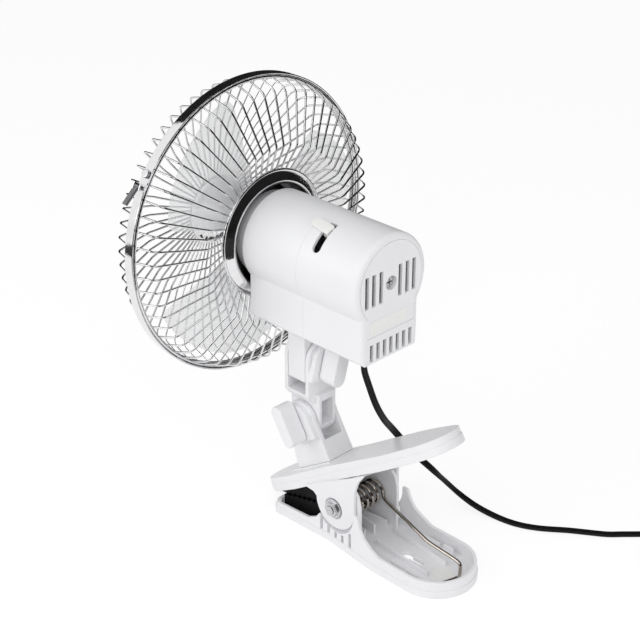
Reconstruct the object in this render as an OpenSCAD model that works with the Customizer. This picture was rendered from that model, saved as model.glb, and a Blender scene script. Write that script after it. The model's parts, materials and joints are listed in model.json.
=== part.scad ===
// Clip-on twelve volt car fan: spring clamp, two-pivot elbow, swinging
// motor head and a chromed wire guard. The fan faces -Y, and the ground
// plane is Z = 0 with the clamp lying on it.

/* [Lower jaw] */
// Half width of the lower jaw at its front end
front_hw = 21; // [20:0.5:24]
// Half width of the lower jaw at its waist, beside the bolt
waist_hw = 19.4; // [19:0.1:22]
// Radius of the round rear end of the lower jaw
rear_r = 23.3; // [21:0.1:26]
// Distance from the bolt to the front end of the lower jaw
front_len = 47.6; // [44:0.2:54]
// Distance from the bolt to the centre of the round rear end
rear_len = 59.9; // [54:0.1:66]
// Height of the flange around the foot of the lower jaw
flange_h = 4.6; // [3.5:0.1:6]
// Height of the rear rim of the lower jaw
rim_h = 10; // [8:0.5:12]
// Wall thickness of the moulded clamp halves
clamp_wall = 2; // [1.6:0.1:2.6]
// Floor thickness of the lower jaw
floor_t = 2.4; // [1.6:0.1:3]

/* [Upper jaw] */
// Angle of the paddle above the ground
paddle_tilt = 32.5; // [28:0.5:36]
// Distance from the bolt up to the top of the paddle
paddle_top = 23.7; // [22:0.1:26]
// Depth of the rim of the paddle
paddle_rim = 8.4; // [7:0.1:9.5]
// Radius of the two round ends of the paddle
paddle_r = 16; // [14:0.5:18]
// Distance from the bolt to the front round end of the paddle, at its centre
paddle_front = 44; // [40:0.5:50]
// Distance from the bolt to the rear round end of the paddle, at its centre
paddle_rear = 78; // [70:0.5:84]
// Radius of the cheek that carries the bolt
cheek_r = 14.7; // [13:0.1:16]
// Outer half width across the cheeks
cheek_hw = 18.4; // [18.2:0.1:18.8]

/* [Clamp bolt and spring] */
// Height of the clamp bolt above the ground
bolt_z = 22.7; // [21:0.1:25]
// Diameter of the clamp bolt
bolt_d = 5; // [4:0.5:6]
// Flange diameter of the clamp nut
nut_flange_d = 11.8; // [10:0.1:13]
// Width across the flats of the clamp nut
nut_af = 8; // [7:0.5:9]
// Wire diameter of the clamp spring
spring_wire = 2; // [1.6:0.1:2.2]
// Middle radius of the spring's coils
spring_r = 6.4; // [6:0.1:6.8]
// Length of the coil along the bolt, between wire centres
spring_len = 25.4; // [24:0.1:25.6]

/* [Elbow] */
// Distance from the bolt up to the tilt pivot, square to the paddle
tilt_rise = 52.3; // [49:0.1:58]
// Distance of the tilt pivot ahead of the bolt, along the paddle
tilt_back = 8.2; // [6:0.1:12]
// Width of the elbow base fork
fork_w = 19; // [18:0.2:22]
// Width of the tongue between the base fork's cheeks
tongue_w = 13; // [11:0.1:14]
// Radius of the round top of the base fork
fork_r = 10.6; // [10:0.1:12]
// Length of the middle link between its two pivots
link_len = 38.6; // [37:0.1:44]
// Width of the link's upper fork
upper_fork_w = 23; // [22:0.1:26]
// Depth of the link's upper fork, front to back
upper_fork_d = 19; // [18:0.2:21]
// Thickness of the neck tongue, front to back
neck_t = 13.2; // [12:0.1:13.6]
// Diameter of the two elbow bolts
pivot_d = 4; // [3:0.5:5]
// Length of the two clamping knobs
knob_len = 25; // [20:0.5:26]
// Width of the two clamping knobs
knob_w = 8; // [7:0.2:10]
// Height of the two clamping knobs
knob_h = 11.4; // [9:0.1:13]

/* [Head] */
// Height of the fan axis above the roll pivot
axis_rise = 63; // [61:0.5:68]
// Radius of the round motor housing
house_r = 27; // [26.5:0.1:30]
// Half width of the housing's square lower part
box_hw = 21.7; // [20.5:0.1:23]
// Depth of the housing below the fan axis
box_drop = 42.5; // [41.5:0.1:46]
// Distance from the swing axis forward to the housing's front
house_front = 25; // [24.5:0.1:26]
// Distance from the swing axis back to the housing's seam
house_seam = 16; // [14:0.1:18]
// Distance from the swing axis back to the housing's rear face
house_back = 59.3; // [58:0.1:64]
// Wall thickness of the housing
house_wall = 2; // [1.6:0.1:2.4]
// Diameter of the neck post where it passes the housing
post_d = 14; // [12:0.5:16]

/* [Guard] */
// Outer diameter of the rim band
rim_d = 172; // [168:1:190]
// Width of the rim band
band_w = 6.1; // [5.5:0.1:8]
// Sheet thickness of the rim band
band_t = 1; // [0.8:0.1:1.4]
// Diameter of the rim ring wires
ring_wire = 2.4; // [2:0.1:2.6]
// Diameter of the guard wires
guard_wire = 1.15; // [0.9:0.05:1.3]
// Number of wires in each guard
wire_count = 62; // [40:2:64]
// Radius of the inner bend of the guard wires
bend_r = 50.8; // [48:0.2:54]
// Height of the rear guard's bulge behind the dish
rear_bulge = 4.6; // [3:0.1:6]
// Depth of the front guard ahead of the band
front_depth = 25.2; // [23:0.1:30]
// Outer radius of the chromed dish
dish_r = 37; // [35:0.1:40]
// Radius of the front cap
cap_r = 20; // [17:0.5:24]

/* [Motor and blades] */
// Radius to the tips of the blades
blade_r = 75; // [70:0.5:76]
// Thickness of the blades
blade_t = 1.4; // [1:0.1:2]
// Radius of the blade hub
hub_r = 13; // [11:0.5:15]
// Radius of the motor can
can_r = 15; // [13:0.5:16]
// Length of the motor can
can_len = 34; // [32:0.5:36]
// Diameter of the motor shaft
shaft_d = 2.3; // [2:0.1:3]
// Teeth of the swing gear
wheel_teeth = 24; // [18:1:30]
// Outer radius of the swing gear
wheel_r = 8; // [6:0.1:8.4]
// Throw of the crank pin
crank_throw = 4.2; // [3:0.1:4.4]

/* [Cord] */
// Width of the flat cord
cord_w = 4.4; // [4:0.1:5]
// Thickness of the flat cord
cord_t = 2.2; // [2:0.1:2.5]
// Radius of the middle turn of the put-away coil
coil_r = 24.6; // [22:0.1:26]
// Turns in each layer of the coil
coil_turns = 4; // [3:1:4]
// Diameter of the plug body
plug_d = 21; // [20:0.1:21.5]
// Length of the plug body
plug_len = 52; // [46:1:60]

/* [Hidden] */

$fn = 96;
gap = 0.3;
fit = 0.05;
eps = 0.01;
far = 200;

// Clamp: the bolt's place, and the walls measured from it
bolt_y = -4.4;
front_y = bolt_y - front_len;
rear_y = bolt_y + rear_len;
ear_out = cheek_hw - clamp_wall - gap;
ear_in = ear_out - clamp_wall;
cheek_y = bolt_y + 1;
cheek_z = bolt_z + 2.25;
cheek_clear = 1.3;
jaw_open = 22;
wall_inset = 0.6;
mouth_low = 7.1;
key_r = 3.4;
key_w = 2.8;
paddle_under = paddle_top - paddle_rim;
paddle_skin = 2.5;
paddle_part = paddle_top - 3.9;
pad_h = 0.9;
base_w = paddle_top + pad_h;
// Height of the meeting line of the two pads, at the front and at the rear
pad_front_z = 9.6;
pad_rear_z = 17.6;
pad_rear_y = bolt_y - 12.5;

// Elbow: each pivot follows from the one below it
tilt_y = bolt_y - tilt_back * cos(paddle_tilt) - tilt_rise * sin(paddle_tilt);
tilt_z = bolt_z - tilt_back * sin(paddle_tilt) + tilt_rise * cos(paddle_tilt);
roll_y = tilt_y - 1.3;
roll_z = tilt_z + link_len;
tongue_r = fork_r + 1.2;
slot_floor_w = tilt_rise - tongue_r - 3.9;
boss_t = 3.4;
boss_in = 1.4;
upper_r = upper_fork_w / 2;
upper_slot = neck_t + 2 * gap;
knob_start = fork_w / 2 + boss_t + gap;
roll_knob_y = roll_y + upper_fork_d / 2 + boss_t + gap;
roll_knob_lean = -16;
neck_foot = 13.5;
head_gap = 0.3;

// Head: measured from the point where the swing axis meets the fan axis
axis_z = roll_z + axis_rise;
rim_r = rim_d / 2;
band_in = rim_r - band_t;
band_back = -(house_front + 20.7);
band_front = band_back - band_w;
dish_y = -(house_front + 5);
ring_r = band_in - ring_wire / 2 - 0.1;
rear_ring_y = band_back - ring_wire / 2 - 0.2;
front_ring_y = band_front + ring_wire / 2 + 0.2;
shoulder_r = rim_r - 7;
cap_y = band_front - front_depth;
nose_r = house_r - 3;
dish_plate_y = dish_y - 3.3;
bead_y = dish_y + 1.2;
bead_r = 2.1;
dish_slope = 38;
box_in = box_drop - house_wall;
can_forward = 14;
can_back = can_len - can_forward;
boss_r = 9;
wheel_x = wheel_r + 3.4;
wheel_y = can_back + 11;
frame_back = can_back + 22;
frame_z = 3.6;
frame_t = 1.8;
crank_z = -32;
rod_z = crank_z - 4.6;
rod_t = 2;
pin_r = 1.2;
blade_y = band_back - 4.5;
blade_rise = 7.4;
blade_pitch = 7;
sheet_r = 114;
blade_low = 36;
blade_high = 37;
blade_at = 50;
petal_mid = [26, 5];
petal_r = 49;
petal_round = 7;
lever_y0 = house_seam - 1.6;
slot_y0 = house_seam + 7.6;
slot_y1 = house_seam + 13;
slot_low = 31;
slot_high = 72;
slot_round = (slot_y1 - slot_y0) / 2 / house_r * 180 / PI;
lever_at = 61;
lever_lean = 9;
lever_half = 3.1;
upper_vent = 2.7;
lower_vent = 2.5;
groove = 0.35;
groove_r = 23.2;
relief_y = roll_y + 39.2;
relief_x = -1.5;
relief_len = 8.5;
relief_z = axis_z - box_drop - relief_len;

// Cord: its route from the strain relief, over the ground, to the coil
CORD_ROUTE = [[-1.5, -1.5, 112.6], [-1.5, -1.5, 108], [-2, -1.4, 103], [-4, -0.3, 95],
  [-8, 1.8, 81.3], [-15, 1.8, 69], [-25, 0, 57], [-34, 7, 42], [-43, 15, 29],
  [-52, 17.5, 18], [-58.5, 23, 9], [-62.5, 33, 3.2], [-65, 46.8, 1.1], [-67.6, 59.3, 1.1],
  [-73.4, 70.5, 1.1], [-83, 82.9, 1.1], [-89.3, 92, 1.1], [-95.7, 101.1, 1.1],
  [-102, 107.3, 1.1], [-109.5, 114.6, 1.1], [-118, 123, 1.5], [-127, 132, 1.8],
  [-136, 141, 1.8]];
cord_rings = 70;
coil_pitch = cord_w + 0.6;
coil_layer = cord_t + 0.6;
tie_t = 0.6;
coil_z = cord_t / 2 + tie_t + 0.1;
coil_out = coil_r + coil_pitch * coil_turns / 2;

function unit(v) = v / norm(v);
function last(v) = v[len(v) - 1];
function mix(a, b, t) = a * (1 - t) + b * t;

// Direction of a path at one of its points
function heading(p, i) =
  let (a = max(i - 1, 0), b = min(i + 1, len(p) - 1)) unit(p[b] - p[a]);

// One ring of a tube: half width a square to ref, half height b
function tube_ring(c, t, ref, a, b, n) =
  let (s = unit(cross(t, ref)), u = cross(t, s))
  [for (k = [0:n - 1]) c + a * cos(360 * (k + 0.5) / n) * s + b * sin(360 * (k + 0.5) / n) * u];

// A closed tube of triangles along the points p, with one reference
// direction for each ring
module tube(p, refs, a, b, n) {
  rings = [for (i = [0:len(p) - 1]) tube_ring(p[i], heading(p, i), refs[i], a, b, n)];
  sides = [for (i = [0:len(p) - 2]) for (k = [0:n - 1])
    let (q = (k + 1) % n, c = i * n, d = (i + 1) * n)
    each [[c + k, d + k, d + q], [c + k, d + q, c + q]]];
  start = [for (k = [1:n - 2]) [0, k, k + 1]];
  e = (len(p) - 1) * n;
  end = [for (k = [1:n - 2]) [e, e + k + 1, e + k]];
  polyhedron(points = [for (r = rings) each r], faces = concat(sides, start, end), convexity = 10);
}

// Smooth curve through the points of a route
function spline_at(p, i, t) =
  let (n = len(p) - 1, a = p[max(i - 1, 0)], b = p[i], c = p[i + 1], d = p[min(i + 2, n)])
  0.5 * (2 * b + (c - a) * t + (2 * a - 5 * b + 4 * c - d) * t * t
    + (3 * b - a - 3 * c + d) * t * t * t);
function spline(p, count) =
  let (n = len(p) - 1)
  [for (k = [0:count]) let (s = min(k * n / count, n - eps), i = floor(s)) spline_at(p, i, s - i)];

function path_length(p) = len(p) < 2 ? 0 : sum([for (i = [1:len(p) - 1]) norm(p[i] - p[i - 1])]);
function sum(v, i = 0) = i >= len(v) ? 0 : v[i] + sum(v, i + 1);

// Extrusions along X and Y, of outlines drawn in Y-Z and in X-Z
module slab_x(x0, x1) {
  translate([x0, 0, 0]) rotate([90, 0, 90]) linear_extrude(x1 - x0) children();
}
module slab_y(y0, y1) {
  translate([0, y1, 0]) rotate([90, 0, 0]) linear_extrude(y1 - y0) children();
}
module both_sides() {
  children();
  mirror([1, 0, 0]) children();
}
module rod_x(x0, x1, r) { slab_x(x0, x1) circle(r = r); }
module rod_y(y0, y1, r) { slab_y(y0, y1) circle(r = r); }
module revolve_y() { rotate([-90, 0, 0]) rotate_extrude() children(); }

// Frames of reference: the bolt, the paddle, the pivots and the head
module at_bolt() { translate([0, bolt_y, bolt_z]) children(); }
module in_paddle() { at_bolt() rotate([paddle_tilt, 0, 0]) children(); }
module at_tilt() { translate([0, tilt_y, tilt_z]) children(); }
module at_roll() { translate([0, roll_y, roll_z]) children(); }
module head() { translate([0, roll_y, axis_z]) children(); }

// Lower jaw

module jaw_outline(d) {
  c = 3;
  half = [[0, front_y + d], [front_hw - c - d, front_y + d], [front_hw - d, front_y + c + d],
    [waist_hw - d, bolt_y - 4], [rear_r - d, bolt_y + 32], [rear_r - d, rear_y], [0, rear_y]];
  both_sides() polygon(half);
  translate([0, rear_y]) circle(r = rear_r - d);
}

module jaw_side() {
  polygon([[front_y - 1, -1], [front_y - 1, mouth_low], [bolt_y - 19.6, mouth_low + 0.8],
    [bolt_y - 13.4, mouth_low + 3.9], [bolt_y - 10, mouth_low + 8.8], [bolt_y + 8, bolt_z + 6],
    [bolt_y + 20.6, bolt_z + 4.3], [bolt_y + 22.6, bolt_z - 1], [bolt_y + 26, bolt_z - 6],
    [bolt_y + 31.5, rim_h + 3], [bolt_y + 38, rim_h], [rear_y + rear_r + 1, rim_h],
    [rear_y + rear_r + 1, -1]]);
}

module ear_side() {
  translate([bolt_y, bolt_z]) {
    circle(r = bolt_d / 2 + 9.5);
    polygon([[-10, -bolt_z + 1], [18, -bolt_z + 1], [17.9, 2], [17.7, 7.2], [15.9, 13.4],
      [13.4, 16.2], [10, 16], [-8, 9]]);
  }
}

module floor_rib(x0, y0, x1, y1, h) {
  run = norm([x1 - x0, y1 - y0]);
  translate([x0, bolt_y + y0, floor_t - eps]) rotate(atan2(y1 - y0, x1 - x0))
    translate([0, -0.6, 0]) cube([run, 1.2, h]);
}

module lower_jaw() {
  slots = [[-9.1, 13], [-3.6, 9.8], [2.7, 8.6], [8.5, 9.4], [14.9, 14]];
  color([0.93, 0.93, 0.94]) difference() {
    union() {
      difference() {
        linear_extrude(flange_h) jaw_outline(0);
        translate([0, 0, floor_t]) linear_extrude(far) jaw_outline(wall_inset + clamp_wall);
      }
      intersection() {
        difference() {
          translate([0, 0, floor_t]) linear_extrude(far) jaw_outline(wall_inset);
          difference() {
            translate([0, 0, floor_t - 1]) linear_extrude(far) jaw_outline(wall_inset + clamp_wall);
            both_sides() translate([ear_in, bolt_y - 14, 0]) cube([far, 27, far]);
          }
        }
        slab_x(-far, far) jaw_side();
        difference() {
          translate([-far, -far, 0]) cube(2 * far);
          at_bolt() rotate([-jaw_open / 2, 0, 0]) slab_x(-far, far)
            translate([cheek_y - bolt_y, cheek_z - bolt_z]) circle(r = cheek_r + cheek_clear);
        }
      }
      both_sides() intersection() {
        slab_x(ear_in, ear_out) ear_side();
        translate([-far, -far, floor_t / 2]) cube(2 * far);
      }
      floor_rib(-10.5, 20, -6.7, 62, 3);
      floor_rib(4.6, 20, 7.8, 61, 3);
      floor_rib(12.6, 39, 13.1, 48, 2.3);
      floor_rib(13.2, 50, 13.6, 58.8, 2.3);
      floor_rib(-16.2, 38, -16.2, 49, 4);
      floor_rib(-16.2, 52, -16.2, 59, 5);
      floor_rib(-10.2, -5.6, -11.8, 13, 4);
      floor_rib(-3, -1, -1.2, 13.6, 6.6);
      floor_rib(4, -2, 5.2, 12, 5);
    }
    at_bolt() rod_x(-far, far, bolt_d / 2 + fit);
    for (s = slots) both_sides() translate([ear_out + 0.4, bolt_y + s[0] - 1, flange_h])
      cube([far, 2, s[1] - flange_h]);
    translate([0.9, bolt_y + 40.3, -1]) {
      cylinder(r = key_r, h = far);
      translate([-key_w / 2, 0, 0]) cube([key_w, 11.6, far]);
    }
  }
}

module lower_pad() {
  hw = ear_in - gap;
  y0 = front_y + clamp_wall + wall_inset + gap;
  color([0.06, 0.06, 0.065]) difference() {
    slab_x(-hw, hw) polygon([[y0, floor_t], [y0, pad_front_z - gap], [pad_rear_y, pad_rear_z - gap],
      [pad_rear_y, floor_t]]);
    for (k = [0:6]) at_pad_line(4 + 4.2 * k) translate([-far, -0.6, -gap - 1]) cube([2 * far, 1.2, 2]);
  }
}

// A place along the line where the two pads meet
module at_pad_line(s) {
  a = atan2(pad_rear_z - pad_front_z, pad_rear_y - front_y - 2.9);
  translate([0, front_y + 2.9, pad_front_z]) rotate([a, 0, 0]) translate([0, s, 0]) children();
}

module clamp_bolt() {
  end = cheek_hw + 3.4;
  color([0.75, 0.75, 0.77]) at_bolt() {
    rod_x(-cheek_hw - gap, end, bolt_d / 2);
    rod_x(-cheek_hw - 3, -cheek_hw - gap, bolt_d * 0.9);
  }
}

module flange_nut() {
  x0 = cheek_hw - 0.4;
  color([0.78, 0.78, 0.8]) at_bolt() difference() {
    union() {
      rod_x(x0, x0 + 1.1, nut_flange_d / 2);
      slab_x(x0, x0 + 3.2) circle(d = nut_af / cos(30), $fn = 6);
    }
    rod_x(x0 - 1, far, bolt_d / 2 + fit);
  }
}

// Clamp spring: a leg up to the paddle, the coil, and a leg back to the foot
spring_hang = spring_r - spring_wire / 2 - bolt_d / 2 - 0.4;
spring_y = bolt_y + spring_hang * 0.96;
spring_z = bolt_z - spring_hang * 0.28;
up_angle = 85;
coil_sweep = 360 * 6 - 95 + up_angle;
function coil_point(s) =
  let (a = up_angle - 90 - s * coil_sweep)
  [spring_len * (0.5 - s), spring_y + spring_r * cos(a), spring_z + spring_r * sin(a)];
up_len = (paddle_top - paddle_skin - spring_wire / 2 - gap + 5.4) / sin(up_angle - paddle_tilt);
foot_y = rear_y + 14.2;
foot_z = floor_t + spring_wire / 2 + gap;
SPRING = let (top = coil_point(0), end = coil_point(1), up = [0, cos(up_angle), sin(up_angle)],
    out = end + [0.4, 2.8, -3.9], bend = [-5.5, bolt_y + 49, 13], back = [-3.5, foot_y - 0.8, 12.6])
  concat([for (t = [1, 0.94, 0.5, 0.06]) top + up * up_len * t],
    [for (k = [0:48]) coil_point(k / 48)],
    [end + [0, 0.2, -1.8], end + [0.15, 1, -3.2], out, mix(out, bend, 0.5), mix(out, bend, 0.94),
      mix(bend, back, 0.07), mix(bend, back, 0.5), mix(bend, back, 0.95),
      [-3.2, foot_y + 0.6, 11.4], [-3.2, foot_y + 0.8, 9.6], [-3, foot_y + 0.8, foot_z + 2.2],
      [-2.4, foot_y + 0.6, foot_z + 0.5], [-1, foot_y + 0.2, foot_z], [3, foot_y - 0.9, foot_z],
      [6, foot_y - 1.8, foot_z], [7.5, foot_y - 2.2, foot_z]]);
module jaw_spring() {
  refs = [for (i = [0:len(SPRING) - 1]) i < len(SPRING) - 8 ? [1, 0, 0.02] : [0.2, 1, 0]];
  color([0.45, 0.41, 0.37]) tube(SPRING, refs, spring_wire / 2, spring_wire / 2, 6);
}

module round_sticker() {
  color([0.9, 0.9, 0.9]) translate([1.7, rear_y + 6.7, floor_t])
    cylinder(r = 6.6, h = 0.2);
}

// Upper jaw and elbow base

module paddle_outline(d) {
  half = [[0, -paddle_front - 1], [paddle_r - d, -paddle_front], [paddle_r + 2.3 - d, -29],
    [paddle_r + 0.4 - d, 6], [paddle_r + 3.2 - d, 54], [paddle_r + 2 - d, paddle_rear - 11],
    [paddle_r - d, paddle_rear], [0, paddle_rear + 1]];
  both_sides() polygon(half);
  translate([0, -paddle_front]) circle(r = paddle_r - d);
  translate([0, paddle_rear]) circle(r = paddle_r - d);
}

module cheek_side() {
  translate([cheek_y, cheek_z]) circle(r = cheek_r);
  translate([bolt_y, bolt_z]) polygon([[-22, 4.5], [-16, 4.1], [-12.3, 0.6], [-9, -3], [14, 1],
    [15.4, 5], [15.6, 17], [18, 24.5], [23, 31.5], [30, 36.5], [12, 36.5 - 11.5], [-21, 6.5]]);
}

module upper_jaw() {
  color([0.94, 0.94, 0.95]) difference() {
    union() {
      in_paddle() {
        translate([0, 0, paddle_part]) linear_extrude(paddle_top - paddle_part) paddle_outline(0);
        translate([0, 0, paddle_under]) linear_extrude(paddle_part - paddle_under)
          paddle_outline(-0.4);
        translate([-11, -tilt_back - 25, paddle_top - eps]) cube([22, 36, pad_h + eps]);
      }
      both_sides() difference() {
        slab_x(cheek_hw - clamp_wall, cheek_hw) cheek_side();
        at_bolt() rod_x(cheek_hw - 0.7, far, nut_flange_d / 2 + 0.6);
      }
    }
    in_paddle() translate([0, 0, -far]) linear_extrude(far + paddle_top - paddle_skin)
      intersection() {
        paddle_outline(clamp_wall);
        square([2 * (cheek_hw - clamp_wall), 4 * far], center = true);
      }
    at_bolt() rod_x(-far, far, bolt_d / 2 + fit);
    base_screw_places() translate([0, 0, paddle_top - paddle_skin - 1]) cylinder(r = 1.5, h = 9);
  }
}

module upper_pad() {
  hw = paddle_r - clamp_wall - 1.2;
  color([0.06, 0.06, 0.065]) intersection() {
    in_paddle() translate([0, 0, -far / 2]) linear_extrude(far / 2 + paddle_top - paddle_skin)
      paddle_outline(clamp_wall + gap);
    difference() {
      slab_x(-hw, hw) polygon([[front_y - 8, pad_front_z - 1.5], [front_y + 2.9, pad_front_z],
        [pad_rear_y, pad_rear_z], [pad_rear_y, bolt_z + 20], [front_y - 20, bolt_z + 20]]);
      for (k = [0:6]) at_pad_line(4 + 4.2 * k) translate([-far, -0.6, -1]) cube([2 * far, 1.2, 2]);
      base_screw_places() translate([0, 0, paddle_top - paddle_skin - 2]) cylinder(r = 3.2, h = 3);
    }
  }
}

module base_screw_places() {
  for (v = [-tilt_back - 17, -tilt_back + 1]) in_paddle() translate([0, v, 0]) children();
}

// Outline of the round boss of a fork's cheek, with its pivot at the origin
module boss_side(r) {
  circle(r = r);
  translate([-r, -13]) square([2 * r, 13]);
}

module base_side() {
  u0 = -tilt_back;
  polygon([[u0 - 19, base_w], [u0 - 19, base_w + 4.6], [u0 - 16.6, base_w + 12.6],
    [u0 - 12, tilt_rise - 9], [u0 - fork_r + 0.4, tilt_rise], [u0 + fork_r - 0.4, tilt_rise],
    [u0 + 10, base_w]]);
  translate([u0, tilt_rise]) circle(r = fork_r);
}

module elbow_base() {
  color([0.94, 0.94, 0.95]) difference() {
    in_paddle() difference() {
      union() {
        slab_x(-fork_w / 2, fork_w / 2) base_side();
        slab_x(fork_w / 2 - eps, fork_w / 2 + boss_t) translate([-tilt_back, tilt_rise])
          boss_side(fork_r - boss_in);
      }
      translate([-tongue_w / 2 - gap, -far, slot_floor_w]) cube([tongue_w + 2 * gap, 2 * far, far]);
    }
    at_tilt() rod_x(-far, far, pivot_d / 2 + fit);
    at_tilt() slab_x(-fork_w / 2 - 1, -fork_w / 2 + 1.2) circle(d = pivot_d * 1.75 / cos(30), $fn = 6);
    base_screw_places() translate([0, 0, base_w - 1]) cylinder(r = 1.25, h = 8);
  }
}

module base_screws() {
  color([0.7, 0.7, 0.72]) base_screw_places() {
    translate([0, 0, paddle_top - paddle_skin - 1.6]) cylinder(r = 2.8, h = 1.6);
    translate([0, 0, paddle_top - paddle_skin - eps]) cylinder(r = 1.2, h = 7.5);
  }
}

module tilt_bolt() {
  color([0.7, 0.7, 0.72]) at_tilt() {
    rod_x(-fork_w / 2 + eps, knob_start + knob_h - 4, pivot_d / 2);
    slab_x(-fork_w / 2 - 1.4, -fork_w / 2 + 1.1) circle(d = pivot_d * 1.7 / cos(30), $fn = 6);
  }
}

// Clamping knob: a round-ended bar, standing on the Y-Z plane
module knob(width) {
  difference() {
    slab_x(0, knob_h) {
      square([width, knob_len - width], center = true);
      for (s = [-1, 1]) translate([0, s * (knob_len - width) / 2]) circle(d = width);
    }
    rod_x(-1, knob_h - 3, pivot_d / 2 + fit);
  }
}

module tilt_knob() {
  color([0.95, 0.95, 0.95]) at_tilt() translate([knob_start, 0, 0])
    rotate([paddle_tilt, 0, 0]) knob(knob_w);
}

// Middle link and neck

module middle_link() {
  foot_x = upper_r - 2.3;
  slot_z = roll_z - neck_foot - 7;
  block_z = slot_z - 4.9;
  top_z = block_z + 4.5;
  color([0.94, 0.94, 0.95]) difference() {
    union() {
      slab_x(-tongue_w / 2, tongue_w / 2) {
        translate([tilt_y, tilt_z]) circle(r = tongue_r);
        translate([tilt_y - tongue_r + 1, tilt_z]) square([2 * tongue_r - 1, top_z - tilt_z]);
      }
      slab_y(roll_y - upper_fork_d / 2, roll_y + upper_fork_d / 2) {
        polygon([[-foot_x, block_z], [foot_x, block_z], [upper_r, slot_z - 1.4],
          [upper_r, roll_z], [-upper_r, roll_z], [-upper_r, slot_z - 1.4]]);
        translate([0, roll_z]) circle(r = upper_r);
      }
      slab_y(roll_y + upper_fork_d / 2 - eps, roll_y + upper_fork_d / 2 + boss_t)
        translate([0, roll_z]) rotate(-roll_knob_lean) boss_side(upper_r - 2.4);
    }
    translate([-far, roll_y - upper_slot / 2, slot_z]) cube([2 * far, upper_slot, far]);
    at_tilt() rod_x(-far, far, pivot_d / 2 + fit);
    translate([0, roll_y, roll_z]) rod_y(-far, far, pivot_d / 2 + fit);
    translate([-4.3, tilt_y + pivot_d / 2 + 1.2, tilt_z - 1.4]) cube([8.6, far, 15]);
  }
}

module roll_bolt() {
  color([0.7, 0.7, 0.72]) at_roll() {
    rod_y(-upper_fork_d / 2 - 1, roll_knob_y - roll_y + knob_h - 4, pivot_d / 2);
    slab_y(-upper_fork_d / 2 - 2.5, -upper_fork_d / 2 - eps) circle(r = pivot_d * 0.95);
  }
}

module roll_knob() {
  color([0.95, 0.95, 0.95]) translate([0, roll_knob_y, roll_z])
    rotate([0, roll_knob_lean, 0]) rotate([0, 0, 90]) knob(knob_w + 1.6);
}

module neck_post() {
  hw = upper_r - 0.1;
  foot = roll_z - neck_foot;
  top = axis_z - box_drop - head_gap;
  color([0.94, 0.94, 0.95]) difference() {
    union() {
      slab_y(roll_y - neck_t / 2, roll_y + neck_t / 2) polygon([[-hw + 1, foot], [hw - 1, foot],
        [hw, foot + 1], [hw, top], [-hw, top], [-hw, foot + 1]]);
      translate([0, roll_y, top - eps]) cylinder(r = post_d / 2, h = house_wall + 2 * head_gap + eps);
    }
    translate([0, roll_y, roll_z]) rod_y(-far, far, pivot_d / 2 + fit);
    translate([0, roll_y, top - 10]) cylinder(r = 1.6, h = far);
  }
}

// Arm on top of the neck post, which holds the head down and the rod's pin up
module neck_arm() {
  z0 = axis_z - box_in + head_gap;
  color([0.85, 0.85, 0.86]) translate([0, roll_y, z0]) difference() {
    union() {
      cylinder(r = post_d / 2 + 2.5, h = 1.8);
      translate([0, -2.5, 0]) cube([10, 5, 1.8]);
      translate([10, 0, 0]) cylinder(r = 2.5, h = 1.8);
      translate([10, 0, 0]) cylinder(r = pin_r, h = axis_z + rod_z - z0 - gap);
    }
    translate([0, 0, -1]) cylinder(r = 1.8, h = 9);
  }
}

module neck_screw() {
  z0 = axis_z - box_in + head_gap + 1.8;
  color([0.7, 0.7, 0.72]) translate([0, roll_y, 0]) {
    translate([0, 0, z0]) cylinder(r = 3, h = 1.4);
    translate([0, 0, z0 - 12]) cylinder(r = 1.55, h = 12 + eps);
  }
}

// Head: housing

module house_outline(d) {
  circle(r = house_r - d);
  c = 2.5;
  polygon([[-box_hw + d, 0], [box_hw - d, 0], [box_hw - d, -box_drop + c + d],
    [box_hw - c - d, -box_drop + d], [-box_hw + c + d, -box_drop + d], [-box_hw + d, -box_drop + c + d]]);
}

module front_housing() {
  color([0.95, 0.95, 0.95]) head() difference() {
    union() {
      difference() {
        slab_y(-house_front, house_seam) house_outline(0);
        slab_y(-house_front + house_wall, far) house_outline(house_wall);
      }
      slab_y(-house_front - 8.3, -house_front + eps) difference() {
        circle(r = nose_r);
        circle(r = nose_r - 5);
      }
      rod_y(-house_front, -can_forward, boss_r);
      translate([0, -can_forward, 0]) motor_cradle();
    }
    rod_y(-far, far, 5);
    dish_screw_places() rod_y(-house_front - 9, -house_front + house_wall + 1, 1.25);
    translate([0, 0, -box_drop - 1]) cylinder(r = post_d / 2 + fit, h = house_wall + 2);
  }
}

// Two ledges on the housing's sides that hold the motor can
module motor_cradle() {
  for (s = [-1, 1]) difference() {
    translate([s > 0 ? can_r - 3 : -house_r + 1, 0, -6]) cube([house_r - can_r + 2, 12, 12]);
    rod_y(-1, 20, can_r + eps);
  }
}

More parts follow.
